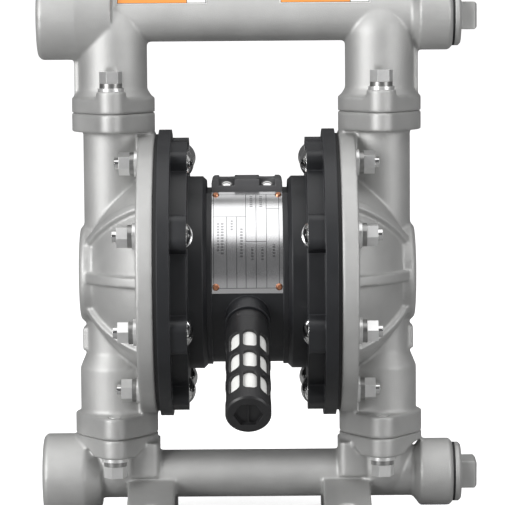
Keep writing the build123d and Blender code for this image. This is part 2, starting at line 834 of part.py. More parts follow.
with BuildPart() as top_cover_screws:
    seat_z = axis_height + cover_top - cover_recess
    screw_end_z = axis_height + cover_base - cover_screw_depth + 1
    with BuildSketch(Plane.XY.offset(screw_end_z)):
        with GridLocations(2 * cover_screw_x, 2 * cover_screw_y, 2, 2):
            Circle(cover_screw_r)
    extrude(amount=seat_z - screw_end_z)
    with Locations((0, 0, seat_z)):
        with GridLocations(2 * cover_screw_x, 2 * cover_screw_y, 2, 2):
            add(dome(cover_head_r, cover_head))
top_cover_screws.part.label = "top_cover_screws"
export_step(top_cover_screws.part, "parts/top_cover_screws.step")

with BuildPart() as nameplate:
    inner_r = body_r + plate_gap
    with BuildSketch(across(-plate_half)):
        with BuildLine():
            CenterArc((0, 0), inner_r, 90 + plate_top_angle, plate_bottom_angle - plate_top_angle)
            CenterArc(
                (0, 0),
                inner_r + plate_thick,
                90 + plate_top_angle,
                plate_bottom_angle - plate_top_angle,
            )
            for angle in (90 + plate_top_angle, 90 + plate_bottom_angle):
                PolarLine(
                    (inner_r * cos(radians(angle)), inner_r * sin(radians(angle))),
                    plate_thick,
                    angle,
                )
        make_face()
    extrude(amount=2 * plate_half)
    for angle in (plate_top_angle + 4, plate_bottom_angle - 4):
        out = (0, -sin(radians(angle)), cos(radians(angle)))
        for side in sides:
            spot = (
                side * (plate_half - rivet_inset),
                body_r * out[1],
                axis_height + body_r * out[2],
            )
            with BuildSketch(Plane(origin=spot, x_dir=(1, 0, 0), z_dir=out)):
                Circle(rivet_shank_r + running_gap)
            extrude(amount=2 * plate_thick, mode=Mode.SUBTRACT)
nameplate.part.label = "nameplate"
export_step(nameplate.part, "parts/nameplate.step")

with BuildPart() as nameplate_rivets:
    for angle in (plate_top_angle + 4, plate_bottom_angle - 4):
        out = (0, -sin(radians(angle)), cos(radians(angle)))
        seat_at = body_r + plate_gap + plate_thick
        for side in sides:
            spot = (
                side * (plate_half - rivet_inset),
                seat_at * out[1],
                axis_height + seat_at * out[2],
            )
            rivet_plane = Plane(origin=spot, x_dir=(1, 0, 0), z_dir=out)
            with BuildSketch(rivet_plane):
                Circle(rivet_shank_r)
            extrude(amount=-rivet_depth)
            with BuildSketch(rivet_plane):
                Circle(rivet_r)
            extrude(amount=rivet_head, taper=35)
nameplate_rivets.part.label = "nameplate_rivets"
export_step(nameplate_rivets.part, "parts/nameplate_rivets.step")

# ==== silencer ====================================================================

with BuildPart() as silencer_cage:
    with BuildSketch(silencer_base.offset(silencer_boss)):
        Circle(silencer_taper)
    extrude(amount=silencer_collar)
    with BuildSketch(silencer_base.offset(silencer_boss + silencer_collar)):
        Circle(silencer_r)
    extrude(amount=silencer_length - silencer_collar)
    chamfer(silencer_cage.edges().filter_by(GeomType.CIRCLE).sort_by(Axis.Y)[0], 1.2)
    with BuildSketch(silencer_base.offset(silencer_boss)):
        Circle(silencer_port_r)
    extrude(amount=-silencer_stub)
    # room for the white element, open along the stub
    with BuildSketch(silencer_base.offset(silencer_boss + silencer_collar)):
        Circle(silencer_r - silencer_wall)
    extrude(amount=silencer_length - silencer_collar - silencer_end_wall, mode=Mode.SUBTRACT)
    with BuildSketch(silencer_base.offset(silencer_boss + silencer_collar)):
        Circle(silencer_port_r - silencer_wall)
    extrude(amount=-silencer_stub - silencer_collar, mode=Mode.SUBTRACT)
    # windows, three rows of eight
    for row in range(window_rows):
        for column_number in range(window_columns):
            spin = window_turn + column_number * 360 / window_columns
            centre = silencer_base.offset(
                silencer_boss + silencer_collar + window_first + (row - 1) * window_pitch
            )
            across_out = (
                centre.x_dir * sin(radians(spin)) + centre.y_dir * -cos(radians(spin))
            )
            with BuildSketch(Plane(origin=centre.origin, x_dir=centre.z_dir, z_dir=across_out)):
                RectangleRounded(window_length, window_width, 0.35 * window_width)
            extrude(amount=silencer_r + 1, mode=Mode.SUBTRACT)
    with BuildSketch(silencer_base.offset(silencer_boss + silencer_length)):
        RegularPolygon(hex_recess_flats / 2, 6, major_radius=False)
    extrude(amount=-hex_recess, mode=Mode.SUBTRACT)
silencer_cage.part.label = "silencer_cage"
export_step(silencer_cage.part, "parts/silencer_cage.step")

with BuildPart() as silencer_element:
    element_length = silencer_length - silencer_collar - silencer_end_wall
    element_r = silencer_r - silencer_wall - seat_gap
    with BuildSketch(silencer_base.offset(silencer_boss + silencer_collar)):
        Circle(element_r)
        Circle(silencer_port_r - silencer_wall, mode=Mode.SUBTRACT)
    extrude(amount=element_length)
silencer_element.part.label = "silencer_element"
export_step(silencer_element.part, "parts/silencer_element.step")

# ==== air valve ===================================================================

with BuildPart() as valve_gasket:
    with BuildSketch(Plane.XZ.offset(-valve_pad_y)):
        with Locations((0, axis_height)):
            Rectangle(2 * (body_half - 1), 2 * valve_pad_z)
            with GridLocations(2 * valve_screw_x, 2 * valve_screw_z, 2, 2):
                Circle(valve_screw_r + bolt_gap, mode=Mode.SUBTRACT)
    extrude(amount=-gasket_thick)
valve_gasket.part.label = "valve_gasket"
export_step(valve_gasket.part, "parts/valve_gasket.step")

with BuildPart() as valve_block:
    with Locations((0, valve_face_y, axis_height)):
        Box(
            2 * valve_half_x,
            valve_deep,
            2 * valve_half_z,
            align=(Align.CENTER, Align.MIN, Align.CENTER),
        )
    fillet(valve_block.edges().filter_by(Axis.Y), valve_edge)
    with BuildSketch(Plane.YZ.offset(-valve_half_x)):
        with Locations((spool_y, spool_z)):
            Circle(spool_r + running_gap)
    extrude(amount=2 * valve_half_x, mode=Mode.SUBTRACT)
    with BuildSketch(Plane.XZ.offset(-valve_back_y)):
        with Locations((0, axis_height - air_port_drop)):
            Circle(air_thread_r)
    extrude(amount=air_port_depth, mode=Mode.SUBTRACT)
    with BuildSketch(Plane.XZ.offset(-valve_back_y)):
        with Locations((0, axis_height)):
            with GridLocations(2 * valve_screw_x, 2 * valve_screw_z, 2, 2):
                Circle(valve_screw_r + bolt_gap)
    extrude(amount=valve_deep, mode=Mode.SUBTRACT)
    for side in sides:
        with BuildSketch(Plane.YZ.offset(side * valve_half_x)):
            with Locations((spool_y, spool_z)):
                with Locations(*valve_cap_corners):
                    Circle(valve_cap_screw_r + running_gap)
        extrude(amount=-side * valve_cap_screw_depth, mode=Mode.SUBTRACT)
valve_block.part.label = "valve_block"
export_step(valve_block.part, "parts/valve_block.step")

with BuildPart() as valve_spool:
    spool_axis = Axis((0, spool_y, spool_z), (1, 0, 0))
    with BuildSketch(upright(0, spool_y, spool_z)):
        with BuildLine():
            Polyline(
                (-spool_half, 0),
                (-spool_half, spool_r),
                (-spool_half + spool_land, spool_r),
                (-spool_half + spool_land, spool_waist_r),
                (-spool_land / 2, spool_waist_r),
                (-spool_land / 2, spool_r),
                (spool_land / 2, spool_r),
                (spool_land / 2, spool_waist_r),
                (spool_half - spool_land, spool_waist_r),
                (spool_half - spool_land, spool_r),
                (spool_half, spool_r),
                (spool_half, 0),
                close=True,
            )
        make_face()
    revolve(axis=spool_axis)
valve_spool.part.label = "valve_spool"
export_step(valve_spool.part, "parts/valve_spool.step")

for side, hand in zip(sides, ("left", "right")):
    name = f"{hand}_valve_cap"
    with BuildPart() as valve_cap_piece:
        with BuildSketch(Plane.YZ.offset(side * valve_half_x)):
            with Locations((spool_y, spool_z)):
                RectangleRounded(2 * valve_cap_half_y, 2 * valve_cap_half_z, valve_edge)
                with Locations(*valve_cap_corners):
                    Circle(valve_cap_screw_r + bolt_gap, mode=Mode.SUBTRACT)
        extrude(amount=side * valve_cap)
    valve_cap_piece.part.label = name
    export_step(valve_cap_piece.part, f"parts/{name}.step")

with BuildPart() as valve_cap_screws:
    cap_outer_x = valve_half_x + valve_cap
    with BuildSketch(Plane.YZ.offset(cap_outer_x)):
        with Locations((spool_y, spool_z)):
            with Locations(*valve_cap_corners):
                Circle(valve_cap_screw_head_r)
                RegularPolygon(valve_cap_screw_r, 6, mode=Mode.SUBTRACT)
    extrude(amount=valve_cap_screw_head)
    with BuildSketch(Plane.YZ.offset(cap_outer_x + valve_cap_screw_head / 3)):
        with Locations((spool_y, spool_z)):
            with Locations(*valve_cap_corners):
                Circle(valve_cap_screw_r)
    extrude(amount=-(valve_cap + valve_cap_screw_head / 3 + valve_cap_screw_depth - 1))
    mirror(about=Plane.YZ)
valve_cap_screws.part.label = "valve_cap_screws"
export_step(valve_cap_screws.part, "parts/valve_cap_screws.step")

with BuildPart() as valve_block_screws:
    with BuildSketch(Plane.XZ.offset(-valve_back_y)):
        with Locations((0, axis_height)):
            with GridLocations(2 * valve_screw_x, 2 * valve_screw_z, 2, 2):
                Circle(valve_screw_head_r)
                RegularPolygon(valve_screw_r, 6, mode=Mode.SUBTRACT)
    extrude(amount=-valve_screw_head)
    with BuildSketch(Plane.XZ.offset(-valve_back_y - valve_screw_head / 3)):
        with Locations((0, axis_height)):
            with GridLocations(2 * valve_screw_x, 2 * valve_screw_z, 2, 2):
                Circle(valve_screw_r)
    extrude(amount=valve_deep + gasket_thick + valve_screw_head / 3 + valve_screw_grip)
valve_block_screws.part.label = "valve_block_screws"
export_step(valve_block_screws.part, "parts/valve_block_screws.step")

# ==== diaphragms, rod and pilot rod ===============================================

with BuildPart() as right_diaphragm:
    with BuildSketch(upright(0, 0, axis_height)):
        face_back = diaphragm_face_x
        face_front = cap_flange_inner_x
        wave_mid_r = (wave_inner_r + wave_outer_r) / 2
        with BuildLine():
            Polyline(
                (face_back, wave_inner_r),
                (face_back, plate_screw_r + running_gap),
                (face_front, plate_screw_r + running_gap),
                (face_front, wave_inner_r),
            )
            ThreePointArc(
                (face_front, wave_inner_r),
                (face_front + wave_height, wave_mid_r),
                (face_front, wave_outer_r),
            )
            Polyline(
                (face_front, wave_outer_r),
                (face_front, diaphragm_r),
                (face_back, diaphragm_r),
                (face_back, wave_outer_r),
            )
            ThreePointArc(
                (face_back, wave_outer_r),
                (face_back + wave_height, wave_mid_r),
                (face_back, wave_inner_r),
            )
        make_face()
    revolve(axis=rod_line)
    bolt_ring_holes(bolt_r + bolt_gap, diaphragm_face_x, cap_flange_inner_x)
right_diaphragm.part.label = "right_diaphragm"
export_step(right_diaphragm.part, "parts/right_diaphragm.step")

with BuildPart() as left_diaphragm:
    mirror(right_diaphragm.part, about=Plane.YZ)
left_diaphragm.part.label = "left_diaphragm"
export_step(left_diaphragm.part, "parts/left_diaphragm.step")

with BuildPart() as right_inner_plate:
    with BuildSketch(across(shuttle_end_x)):
        Circle(inner_plate_r)
        Circle(plate_screw_r + running_gap, mode=Mode.SUBTRACT)
    extrude(amount=inner_plate)
    inner_rims = right_inner_plate.edges().filter_by(GeomType.CIRCLE).group_by(Axis.X)[0]
    chamfer(inner_rims.sort_by(SortBy.RADIUS)[-1], boss_edge)
right_inner_plate.part.label = "right_inner_plate"
export_step(right_inner_plate.part, "parts/right_inner_plate.step")

with BuildPart() as left_inner_plate:
    mirror(right_inner_plate.part, about=Plane.YZ)
left_inner_plate.part.label = "left_inner_plate"
export_step(left_inner_plate.part, "parts/left_inner_plate.step")

with BuildPart() as right_outer_plate:
    with BuildSketch(across(cap_flange_inner_x)):
        Circle(outer_plate_r)
        Circle(plate_screw_r + running_gap, mode=Mode.SUBTRACT)
    extrude(amount=outer_plate)
    outer_rims = right_outer_plate.edges().filter_by(GeomType.CIRCLE).group_by(Axis.X)[-1]
    chamfer(outer_rims.sort_by(SortBy.RADIUS)[-1], boss_edge)
right_outer_plate.part.label = "right_outer_plate"
export_step(right_outer_plate.part, "parts/right_outer_plate.step")

with BuildPart() as left_outer_plate:
    mirror(right_outer_plate.part, about=Plane.YZ)
left_outer_plate.part.label = "left_outer_plate"
export_step(left_outer_plate.part, "parts/left_outer_plate.step")

with BuildPart() as plate_screws:
    plate_face_x = cap_flange_inner_x + outer_plate
    with BuildSketch(across(plate_face_x)):
        RegularPolygon(plate_head_r, 6)
    extrude(amount=plate_head)
    with BuildSketch(across(plate_face_x)):
        Circle(plate_screw_r)
    extrude(amount=shuttle_end_x - plate_screw_grip - plate_face_x)
    mirror(about=Plane.YZ)
plate_screws.part.label = "plate_screws"
export_step(plate_screws.part, "parts/plate_screws.step")

with BuildPart() as connecting_rod:
    with BuildSketch(across(-shuttle_end_x)):
        Circle(rod_r)
    extrude(amount=2 * shuttle_end_x)
    for side in sides:
        with BuildSketch(across(side * shuttle_end_x)):
            Circle(plate_screw_r + running_gap)
        extrude(amount=-side * (plate_screw_grip + 1), mode=Mode.SUBTRACT)
connecting_rod.part.label = "connecting_rod"
export_step(connecting_rod.part, "parts/connecting_rod.step")

with BuildPart() as pilot_rod:
    with BuildSketch(across(-pilot_half)):
        with Locations((0, pilot_rise)):
            Circle(pilot_r)
    extrude(amount=2 * pilot_half)
    chamfer(pilot_rod.edges().filter_by(GeomType.CIRCLE), 0.8)
pilot_rod.part.label = "pilot_rod"
export_step(pilot_rod.part, "parts/pilot_rod.step")

# ==== chamber bolts ===============================================================

with BuildPart() as chamber_bolts:
    bolt_ring(bolt_r, bolt_tip_x - air_face_x, air_face_x)
    with Locations(Plane(origin=(air_face_x, 0, axis_height), x_dir=(0, -1, 0), z_dir=(-1, 0, 0))):
        with PolarLocations(bolt_ring_r, bolt_count, bolt_start):
            add(dome(dome_head_r, dome_head))
    mirror(about=Plane.YZ)
chamber_bolts.part.label = "chamber_bolts"
export_step(chamber_bolts.part, "parts/chamber_bolts.step")

with BuildPart() as chamber_flat_washers:
    bolt_ring(flat_washer_r, flat_washer, cap_flange_outer_x)
    bolt_ring_holes(bolt_r + running_gap, cap_flange_outer_x, cap_flange_outer_x + flat_washer)
    mirror(about=Plane.YZ)
chamber_flat_washers.part.label = "chamber_flat_washers"
export_step(chamber_flat_washers.part, "parts/chamber_flat_washers.step")

with BuildPart() as chamber_spring_washers:
    spring_x = cap_flange_outer_x + flat_washer
    bolt_ring(spring_washer_r, spring_washer, spring_x)
    bolt_ring_holes(bolt_r + running_gap, spring_x, spring_x + spring_washer)
    mirror(about=Plane.YZ)
chamber_spring_washers.part.label = "chamber_spring_washers"
export_step(chamber_spring_washers.part, "parts/chamber_spring_washers.step")

with BuildPart() as chamber_nuts:
    nut_x = cap_flange_outer_x + flat_washer + spring_washer
    bolt_ring(nut_flats / 2, nut_height, nut_x, 6)
    bolt_ring_holes(bolt_r + running_gap, nut_x, nut_x + nut_height)
    mirror(about=Plane.YZ)
chamber_nuts.part.label = "chamber_nuts"
export_step(chamber_nuts.part, "parts/chamber_nuts.step")

# ==== manifold bolts ==============================================================

# each joint has its bolts put in from the manifold's side
outlet_bolt_seat = top_joint_z + outlet_flange_boss
inlet_bolt_seat = bottom_joint_z - inlet_flange
bolt_stacks = ((outlet_bolt_seat, 1, cap_top_flange), (inlet_bolt_seat, -1, cap_bottom_flange))

with BuildPart() as manifold_bolts:
    for seat_z, way, cap_flange in bolt_stacks:
        head_z = seat_z + way * (flat_washer + spring_washer)
        joint_z = top_joint_z if way > 0 else bottom_joint_z
        end_z = joint_z - way * cap_flange
        for side in sides:
            with BuildSketch(level(side * column_x, head_z)):
                with Locations((0, flange_bolt_y), (0, -flange_bolt_y)):
                    RegularPolygon(nut_flats / 2, 6, major_radius=False, rotation=10)
            extrude(amount=way * hex_head)
            flange_circles(side * column_x, head_z, bolt_r, end_z - head_z)
manifold_bolts.part.label = "manifold_bolts"
export_step(manifold_bolts.part, "parts/manifold_bolts.step")

with BuildPart() as manifold_flat_washers:
    for seat_z, way, cap_flange in bolt_stacks:
        for side in sides:
            with BuildSketch(level(side * column_x, seat_z)):
                with Locations((0, flange_bolt_y), (0, -flange_bolt_y)):
                    Circle(flat_washer_r)
                    Circle(bolt_r + running_gap, mode=Mode.SUBTRACT)
            extrude(amount=way * flat_washer)
manifold_flat_washers.part.label = "manifold_flat_washers"
export_step(manifold_flat_washers.part, "parts/manifold_flat_washers.step")

with BuildPart() as manifold_spring_washers:
    for seat_z, way, cap_flange in bolt_stacks:
        for side in sides:
            with BuildSketch(level(side * column_x, seat_z + way * flat_washer)):
                with Locations((0, flange_bolt_y), (0, -flange_bolt_y)):
                    Circle(spring_washer_r)
                    Circle(bolt_r + running_gap, mode=Mode.SUBTRACT)
            extrude(amount=way * spring_washer)
manifold_spring_washers.part.label = "manifold_spring_washers"
export_step(manifold_spring_washers.part, "parts/manifold_spring_washers.step")
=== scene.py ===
import json
import math

import bmesh
import bpy
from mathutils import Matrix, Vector


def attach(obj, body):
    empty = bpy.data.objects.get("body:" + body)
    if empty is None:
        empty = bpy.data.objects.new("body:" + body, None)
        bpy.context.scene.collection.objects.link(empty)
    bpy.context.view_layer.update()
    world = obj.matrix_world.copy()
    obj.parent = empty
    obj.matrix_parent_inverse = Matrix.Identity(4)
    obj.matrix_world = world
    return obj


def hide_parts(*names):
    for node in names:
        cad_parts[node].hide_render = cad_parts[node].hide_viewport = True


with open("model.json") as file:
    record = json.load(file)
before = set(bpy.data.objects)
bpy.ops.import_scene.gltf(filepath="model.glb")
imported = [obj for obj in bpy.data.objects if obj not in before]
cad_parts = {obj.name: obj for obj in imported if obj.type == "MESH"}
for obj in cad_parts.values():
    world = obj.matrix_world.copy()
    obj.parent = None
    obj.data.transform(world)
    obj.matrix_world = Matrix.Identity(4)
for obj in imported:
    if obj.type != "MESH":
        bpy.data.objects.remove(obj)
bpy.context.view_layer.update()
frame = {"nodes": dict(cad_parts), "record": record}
nodes = frame["nodes"]
mm = 0.001
rodHeight = 0.167                # metres from the floor to the axis of the diaphragm rod
print("frame loaded,", len(nodes), "pieces of the pump")


# camera, in front and a little above, on a long lens
cameraSettings = {
    "place": (0.0033, -1.8191, 0.35457),     # metres
    "lookDown": 5.49,                        # degrees
    "roll": -0.44,                           # degrees
    "focalLength": 198.0,                    # mm
    "sensorWidth": 36.0,                     # mm
    "clipEnd": 100.0,
}
cameraData = bpy.data.cameras.new("camera")
cameraData.lens = cameraSettings["focalLength"]
cameraData.sensor_width = cameraSettings["sensorWidth"]
cameraData.clip_end = cameraSettings["clipEnd"]
cameraObject = bpy.data.objects.new("camera", cameraData)
cameraObject.location = cameraSettings["place"]
cameraObject.rotation_mode = "ZXY"
cameraObject.rotation_euler = (
    math.radians(90.0 - cameraSettings["lookDown"]),
    0.0,
    math.radians(cameraSettings["roll"]),
)
bpy.context.scene.collection.objects.link(cameraObject)
bpy.context.scene.camera = cameraObject


# small helpers for node trees
def addNode(tree, kind, label=None, **values):
    node = tree.nodes.new(kind)
    if label:
        node.label = label
    for name, value in values.items():
        setattr(node, name, value)
    return node


def setInputs(node, **values):
    for name, value in values.items():
        node.inputs[name.replace("_", " ")].default_value = value
    return node


def newGroup(name, inputs, outputs):
    group = bpy.data.node_groups.new(name, "ShaderNodeTree")
    for socketName, socketType, value in inputs:
        socket = group.interface.new_socket(
            name=socketName, in_out="INPUT", socket_type=socketType
        )
        if value is not None:
            socket.default_value = value
    for socketName, socketType in outputs:
        group.interface.new_socket(name=socketName, in_out="OUTPUT", socket_type=socketType)
    start = group.nodes.new("NodeGroupInput")
    end = group.nodes.new("NodeGroupOutput")
    return group, start, end


def mathNode(tree, operation, first, second=None, clamp=False):
    node = addNode(tree, "ShaderNodeMath", operation=operation, use_clamp=clamp)
    for index, value in enumerate((first, second)):
        if value is None:
            continue
        if isinstance(value, (int, float)):
            node.inputs[index].default_value = value
        else:
            tree.links.new(value, node.inputs[index])
    return node.outputs[0]


def mixColour(tree, factor, first, second):
    node = addNode(tree, "ShaderNodeMix", data_type="RGBA", blend_type="MIX")
    factorSocket, firstSocket, secondSocket = (node.inputs[index] for index in (0, 6, 7))
    for socket, value in ((factorSocket, factor), (firstSocket, first), (secondSocket, second)):
        if isinstance(value, bpy.types.NodeSocket):
            tree.links.new(value, socket)
        else:
            socket.default_value = value
    return node.outputs[2]


# the piece's own coordinates, as separate X, Y and Z
def objectParts(tree):
    coordinates = addNode(tree, "ShaderNodeTexCoord").outputs["Object"]
    parts = addNode(tree, "ShaderNodeSeparateXYZ")
    tree.links.new(coordinates, parts.inputs[0])
    return parts.outputs


# lays a colour over what already feeds the material's Base Color
def paintOver(material, mask, colour):
    tree = material.node_tree
    socket = tree.nodes["Principled BSDF"].inputs["Base Color"]
    plain = socket.links[0].from_socket
    tree.links.new(mixColour(tree, mask, plain, colour), socket)


# fine grain of a cast or moulded surface: a height, and a slow mottle from 0 to 1
def buildGrainGroup():
    group, start, end = newGroup(
        "surfaceGrain",
        [
            ("Coordinates", "NodeSocketVector", None),
            ("Grain Scale", "NodeSocketFloat", 1400.0),
            ("Mottle Scale", "NodeSocketFloat", 45.0),
            ("Undulation", "NodeSocketFloat", 0.4),
        ],
        [("Height", "NodeSocketFloat"), ("Mottle", "NodeSocketFloat")],
    )
    grain = addNode(group, "ShaderNodeTexNoise", "grain")
    setInputs(grain, Detail=3.0, Roughness=0.6)
    mottle = addNode(group, "ShaderNodeTexNoise", "mottle")
    setInputs(mottle, Detail=4.0, Roughness=0.55)
    for texture, scale in ((grain, "Grain Scale"), (mottle, "Mottle Scale")):
        group.links.new(start.outputs["Coordinates"], texture.inputs["Vector"])
        group.links.new(start.outputs[scale], texture.inputs["Scale"])
    slow = mathNode(group, "MULTIPLY", mottle.outputs["Fac"], start.outputs["Undulation"])
    height = mathNode(group, "ADD", grain.outputs["Fac"], slow)
    group.links.new(height, end.inputs["Height"])
    group.links.new(mottle.outputs["Fac"], end.inputs["Mottle"])
    return group


# rounded edge normal, and a mask that is 1 along edges and broken up by noise: edge wear
# together with a painted edge highlight
def buildEdgeGroup():
    group, start, end = newGroup(
        "edgeWearAndHighlight",
        [
            ("Coordinates", "NodeSocketVector", None),
            ("Radius", "NodeSocketFloat", 0.0008),
            ("Amount", "NodeSocketFloat", 0.6),
        ],
        [("Normal", "NodeSocketVector"), ("Mask", "NodeSocketFloat")],
    )
    bevel = addNode(group, "ShaderNodeBevel", "rounding", samples=6)
    group.links.new(start.outputs["Radius"], bevel.inputs["Radius"])
    geometry = addNode(group, "ShaderNodeNewGeometry")
    dot = addNode(group, "ShaderNodeVectorMath", operation="DOT_PRODUCT")
    group.links.new(bevel.outputs["Normal"], dot.inputs[0])
    group.links.new(geometry.outputs["Normal"], dot.inputs[1])
    bent = mathNode(group, "SUBTRACT", 1.0, dot.outputs["Value"], clamp=True)
    gain = 9.0                   # how fast the mask fills as the edge bends
    strong = mathNode(group, "MULTIPLY", bent, gain, clamp=True)
    edgeBreakup = addNode(group, "ShaderNodeTexNoise", "edgeBreakup")
    setInputs(edgeBreakup, Scale=320.0, Detail=4.0)
    group.links.new(start.outputs["Coordinates"], edgeBreakup.inputs["Vector"])
    broken = mathNode(group, "MULTIPLY", strong, edgeBreakup.outputs["Fac"])
    wearAndHighlightMask = mathNode(group, "MULTIPLY", broken, start.outputs["Amount"], clamp=True)
    group.links.new(bevel.outputs["Normal"], end.inputs["Normal"])
    group.links.new(wearAndHighlightMask, end.inputs["Mask"])
    return group


# a little dust on what faces up
def buildDustGroup():
    group, start, end = newGroup(
        "settledDust",
        [
            ("Coordinates", "NodeSocketVector", None),
            ("Upward", "NodeSocketFloat", 0.12),
            ("Patch Scale", "NodeSocketFloat", 60.0),
        ],
        [("Mask", "NodeSocketFloat")],
    )
    geometry = addNode(group, "ShaderNodeNewGeometry")
    parts = addNode(group, "ShaderNodeSeparateXYZ")
    group.links.new(geometry.outputs["Normal"], parts.inputs[0])
    upward = mathNode(group, "POWER", mathNode(group, "MAXIMUM", parts.outputs["Z"], 0.0), 2.0)
    patches = addNode(group, "ShaderNodeTexNoise", "patches")
    setInputs(patches, Detail=5.0, Roughness=0.65)
    group.links.new(start.outputs["Coordinates"], patches.inputs["Vector"])
    group.links.new(start.outputs["Patch Scale"], patches.inputs["Scale"])
    mask = mathNode(group, "MULTIPLY", upward, patches.outputs["Fac"])
    mask = mathNode(group, "MULTIPLY", mask, start.outputs["Upward"], clamp=True)
    group.links.new(mask, end.inputs["Mask"])
    return group


grainGroup = buildGrainGroup()
edgeGroup = buildEdgeGroup()
dustGroup = buildDustGroup()
print("shader groups built")


def placeGroup(tree, group, coordinates, **values):
    node = addNode(tree, "ShaderNodeGroup", node_tree=group)
    tree.links.new(coordinates, node.inputs["Coordinates"])
    return setInputs(node, **values)


# a material built on the three groups: grain, worn edges with a painted edge highlight, and dust
def makeFinish(name, settings):
    material = bpy.data.materials.new(name)
    material.use_nodes = True
    tree = material.node_tree
    shader = tree.nodes["Principled BSDF"]
    setInputs(shader, Metallic=settings["metallic"], IOR=1.5, Specular_IOR_Level=0.5)
    coordinates = addNode(tree, "ShaderNodeTexCoord").outputs["Object"]
    grain = placeGroup(
        tree,
        grainGroup,
        coordinates,
        Grain_Scale=settings["grainScale"],
        Mottle_Scale=settings["mottleScale"],
        Undulation=settings["undulation"],
    )
    edge = placeGroup(
        tree, edgeGroup, coordinates, Radius=settings["edgeRadius"], Amount=settings["wearAndHighlight"]
    )
    dust = placeGroup(tree, dustGroup, coordinates, Upward=settings["dust"])
    colour = mixColour(tree, grain.outputs["Mottle"], settings["dark"], settings["light"])
    # edges mixed toward a lighter colour: painted highlight along the edges, with wear
    colour = mixColour(tree, edge.outputs["Mask"], colour, settings["wornAndHighlightColour"])
    colour = mixColour(tree, dust.outputs["Mask"], colour, settings["dustColour"])
    tree.links.new(colour, shader.inputs["Base Color"])
    low, high = settings["roughness"]
    rough = addNode(tree, "ShaderNodeMapRange")
    setInputs(rough, To_Min=low, To_Max=high)
    tree.links.new(grain.outputs["Mottle"], rough.inputs["Value"])
    tree.links.new(rough.outputs["Result"], shader.inputs["Roughness"])
    bump = addNode(tree, "ShaderNodeBump")
    setInputs(bump, Strength=settings["bump"], Distance=settings["bumpDepth"])
    tree.links.new(grain.outputs["Height"], bump.inputs["Height"])
    tree.links.new(edge.outputs["Normal"], bump.inputs["Normal"])
    tree.links.new(bump.outputs["Normal"], shader.inputs["Normal"])
    return material


castSteelSettings = {
    "dark": (0.43, 0.43, 0.425, 1.0),
    "light": (0.60, 0.60, 0.59, 1.0),
    "metallic": 0.7,
    "roughness": (0.5, 0.62),
    "grainScale": 1500.0,
    "mottleScale": 38.0,
    "undulation": 0.8,
    "bump": 0.35,
    "bumpDepth": 0.0004,
    "edgeRadius": 0.0012,
    # edges painted slightly lighter: a painted highlight along the edges, with wear
    "wearAndHighlight": 0.15,
    "wornAndHighlightColour": (0.72, 0.72, 0.71, 1.0),
    "dust": 0.05,
    "dustColour": (0.5, 0.5, 0.48, 1.0),
}
castSteel = makeFinish("castSteel", castSteelSettings)

blackCastingSettings = {
    "dark": (0.0085, 0.009, 0.0105, 1.0),
    "light": (0.0185, 0.0195, 0.0225, 1.0),
    "metallic": 0.0,
    "roughness": (0.36, 0.5),
    "grainScale": 1700.0,
    "mottleScale": 60.0,
    "undulation": 0.5,
    "bump": 0.3,
    "bumpDepth": 0.0003,
    "edgeRadius": 0.0009,
    # edges painted lighter: a painted highlight along the edges, with wear
    "wearAndHighlight": 0.6,
    "wornAndHighlightColour": (0.12, 0.125, 0.135, 1.0),
    "dust": 0.1,
    "dustColour": (0.12, 0.12, 0.12, 1.0),
}
blackCasting = makeFinish("blackCasting", blackCastingSettings)

# the cover on top is paler, a painted sheen, with a painted edge highlight and wear
coverSettings = dict(
    blackCastingSettings,
    dark=(0.075, 0.075, 0.078, 1.0),
    light=(0.125, 0.125, 0.13, 1.0),
    wearAndHighlight=0.5,
    wornAndHighlightColour=(0.2, 0.2, 0.2, 1.0),
)
coverCasting = makeFinish("coverCasting", coverSettings)

fastenerSettings = {
    "dark": (0.72, 0.72, 0.72, 1.0),
    "light": (0.85, 0.85, 0.84, 1.0),
    "metallic": 0.78,
    "roughness": (0.28, 0.4),
    "grainScale": 2600.0,
    "mottleScale": 260.0,
    "undulation": 0.3,
    "bump": 0.05,
    "bumpDepth": 0.0001,
    "edgeRadius": 0.0003,
    "wearAndHighlight": 0.8,
    "wornAndHighlightColour": (0.92, 0.92, 0.91, 1.0),
    "dust": 0.0,
    "dustColour": (0.5, 0.5, 0.5, 1.0),
}
brightFastener = makeFinish("brightFastener", fastenerSettings)

# spring washers are darker than the nuts, a painted shade in the gap between nut and flat
# washer; the domed bolts are polished
shadedWasherSettings = dict(
    fastenerSettings,
    dark=(0.26, 0.26, 0.26, 1.0),
    light=(0.38, 0.38, 0.37, 1.0),
    metallic=0.9,
    edgeRadius=0.00012,
)
shadedWasherSteel = makeFinish("shadedWasherSteel", shadedWasherSettings)
polishedSettings = dict(
    fastenerSettings,
    dark=(0.74, 0.74, 0.74, 1.0),
    light=(0.84, 0.84, 0.83, 1.0),
    metallic=1.0,
    roughness=(0.1, 0.17),
    bump=0.03,
)
polishedBolt = makeFinish("polishedBolt", polishedSettings)

turnedSteelSettings = {
    "dark": (0.5, 0.5, 0.5, 1.0),
    "light": (0.62, 0.62, 0.61, 1.0),
    "metallic": 1.0,
    "roughness": (0.22, 0.32),
    "grainScale": 2200.0,
    "mottleScale": 120.0,
    "undulation": 0.2,
    "bump": 0.15,
    "bumpDepth": 0.0001,
    "edgeRadius": 0.0003,
    "wearAndHighlight": 0.5,
    "wornAndHighlightColour": (0.8, 0.8, 0.8, 1.0),
    "dust": 0.0,
    "dustColour": (0.5, 0.5, 0.5, 1.0),
}
turnedSteel = makeFinish("turnedSteel", turnedSteelSettings)

softAluminiumSettings = dict(
    turnedSteelSettings,
    dark=(0.62, 0.62, 0.63, 1.0),
    light=(0.74, 0.74, 0.75, 1.0),
    roughness=(0.28, 0.4),
)
softAluminium = makeFinish("softAluminium", softAluminiumSettings)

